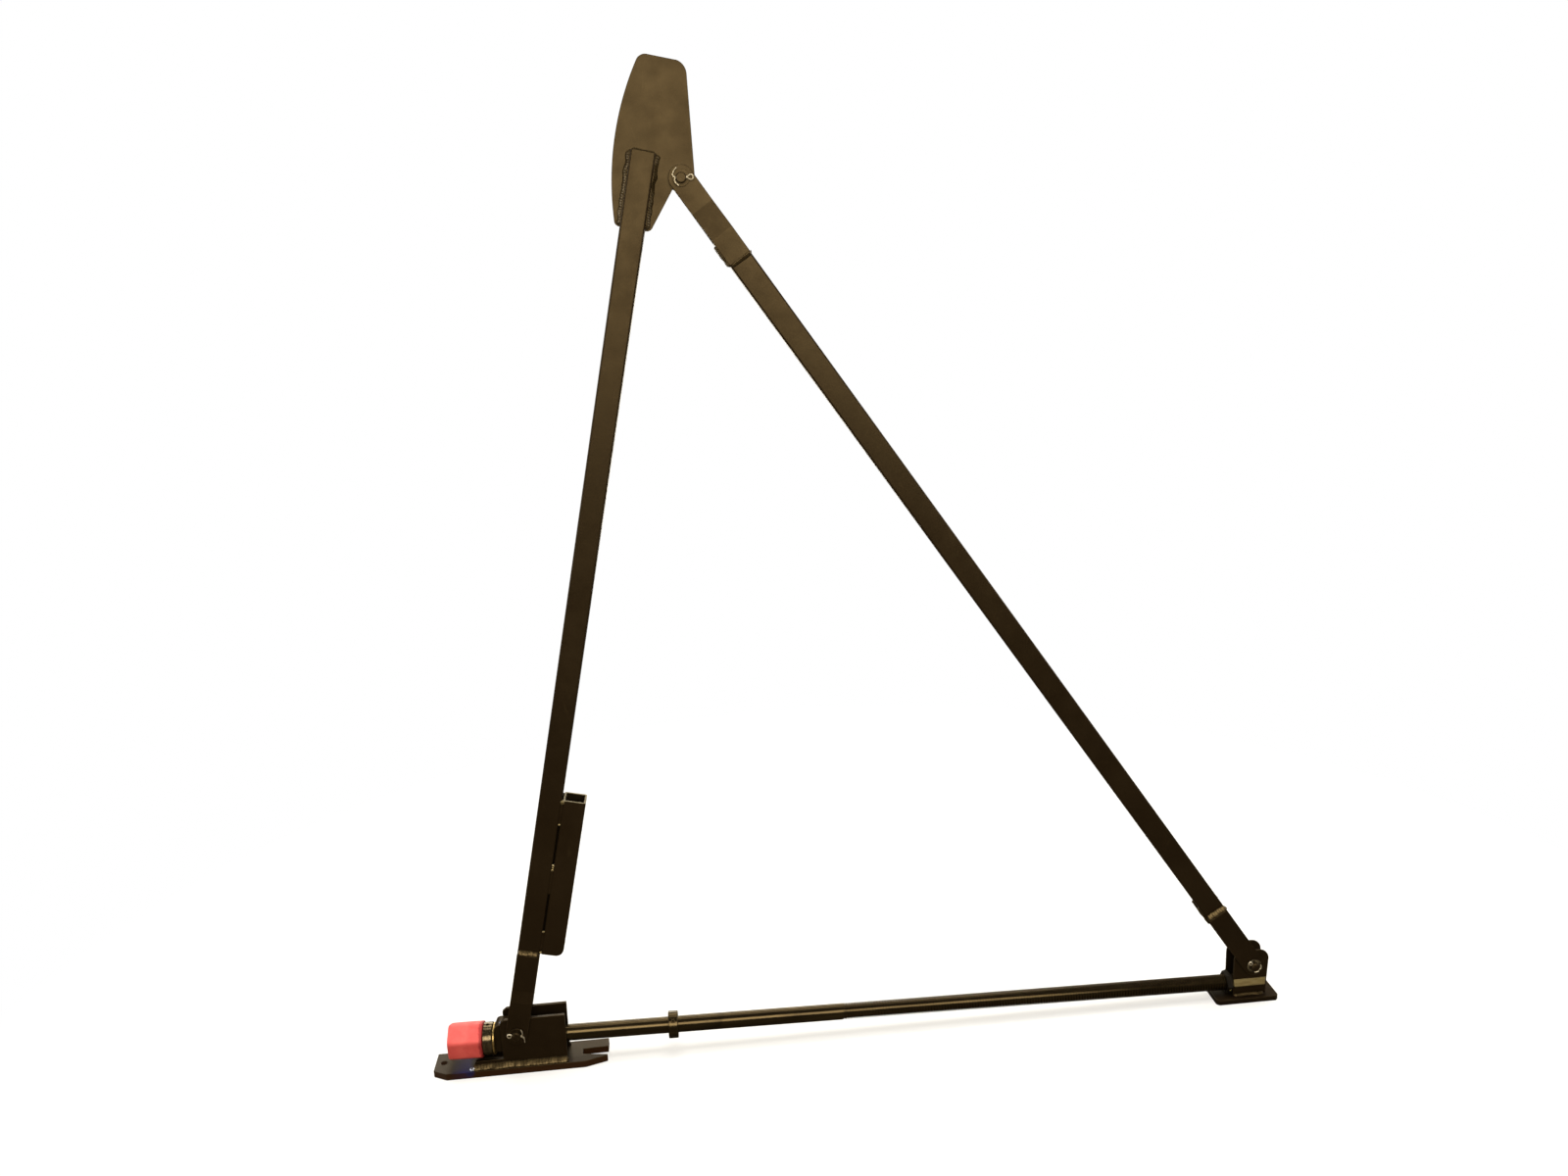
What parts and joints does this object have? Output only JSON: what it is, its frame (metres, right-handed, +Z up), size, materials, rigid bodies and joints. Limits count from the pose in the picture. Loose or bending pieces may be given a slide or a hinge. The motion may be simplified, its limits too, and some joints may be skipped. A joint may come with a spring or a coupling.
{
  "type": "screw-driven A-frame trailer jack",
  "caption": "Triangular steel jack: a mast and a hinged brace stand on two flat feet that a long horizontal screw draws together, with a head plate at the apex.",
  "frame": {"origin": "on the floor under the mast's lower hinge pin, in the jack's middle plane", "axes": "+X along the floor from the drive foot to the nut foot, +Z up, +Y towards the rear"},
  "size_m": [1.536, 0.0732, 1.6702],
  "materials": {
    "dark_paint": "aged dark brown-black paint over mill scale, semi-gloss",
    "weld_bead": "rippled weld bead under thin paint, olive-brown, shiny",
    "oiled_steel": "oiled dark bare steel",
    "bearing_steel": "oil-blackened turned steel",
    "bronze": "worn bronze",
    "zinc": "dull zinc plate",
    "pin_steel": "dark steel, painted over with the straps",
    "red_plastic": "faded salmon-red moulded plastic"
  },
  "bodies": {
    "drive_foot": {"drive_foot_plate": "dark_paint", "drive_foot_side_front": "dark_paint", "drive_foot_side_rear": "dark_paint", "drive_foot_welds": "weld_bead", "mast_pivot_pin": "pin_steel", "mast_pivot_washers": "pin_steel", "mast_pivot_cotter": "zinc"},
    "thrust_carrier": {"thrust_block": "dark_paint", "journal_bush": "bronze", "thrust_washer": "bronze"},
    "screw": {"drive_screw": "oiled_steel", "stop_collar": "bearing_steel", "collar_set_screw": "pin_steel", "drive_hub": "bearing_steel", "hub_pin": "pin_steel", "hub_washer": "bronze", "hub_cap": "red_plastic"},
    "nut_foot": {"nut_foot_plate": "dark_paint", "nut_foot_ear_front": "dark_paint", "nut_foot_ear_rear": "dark_paint", "nut_foot_ledge_front": "dark_paint", "nut_foot_ledge_rear": "dark_paint", "drive_nut": "oiled_steel", "nut_foot_welds": "weld_bead", "brace_foot_pin": "pin_steel", "brace_foot_washers": "pin_steel", "brace_foot_cotter": "zinc"},
    "mast": {"mast_tube": "dark_paint", "top_plate": "dark_paint", "mast_strap_front": "dark_paint", "mast_strap_rear": "dark_paint", "handle_socket": "dark_paint", "mast_welds": "weld_bead"},
    "brace": {"brace_tube": "dark_paint", "brace_upper_strap_front": "dark_paint", "brace_upper_strap_rear": "dark_paint", "brace_lower_strap_front": "dark_paint", "brace_lower_strap_rear": "dark_paint", "brace_welds": "weld_bead", "apex_pin": "pin_steel", "apex_pin_washers": "pin_steel", "apex_pin_cotter": "zinc"}
  },
  "joints": [
    {"name": "screw_spin", "type": "hinge", "parent": "thrust_carrier", "child": "screw", "pos_m": [-0.00046, 0, 0.0544], "axis": [0.9998, 0, -0.021], "range_deg": [0, 23400]},
    {"name": "foot_slide", "type": "slide", "parent": "drive_foot", "child": "nut_foot", "axis": [1, 0, 0], "range_m": [-0.33, 0]},
    {"name": "mast_tilt", "type": "hinge", "parent": "drive_foot", "child": "mast", "pos_m": [0, 0, 0.0762], "axis": [0, -1, 0], "range_deg": [0, 9.95]},
    {"name": "brace_tilt", "type": "hinge", "parent": "nut_foot", "child": "brace", "pos_m": [1.3355, 0, 0.0725], "axis": [0, -1, 0], "range_deg": [-3.25, 0]},
    {"name": "screw_tilt", "type": "hinge", "parent": "drive_foot", "child": "thrust_carrier", "pos_m": [0, 0, 0.0762], "axis": [0, -1, 0], "range_deg": [-0.42, 0]}
  ],
  "couplings": [
    {"joint": "screw_spin", "follows": "foot_slide", "rad_per_m": -1236.8},
    {"joint": "mast_tilt", "follows": "foot_slide", "rad_per_m": -0.5248},
    {"joint": "brace_tilt", "follows": "foot_slide", "rad_per_m": 0.1686},
    {"joint": "screw_tilt", "follows": "foot_slide", "rad_per_m": 0.02055}
  ]
}
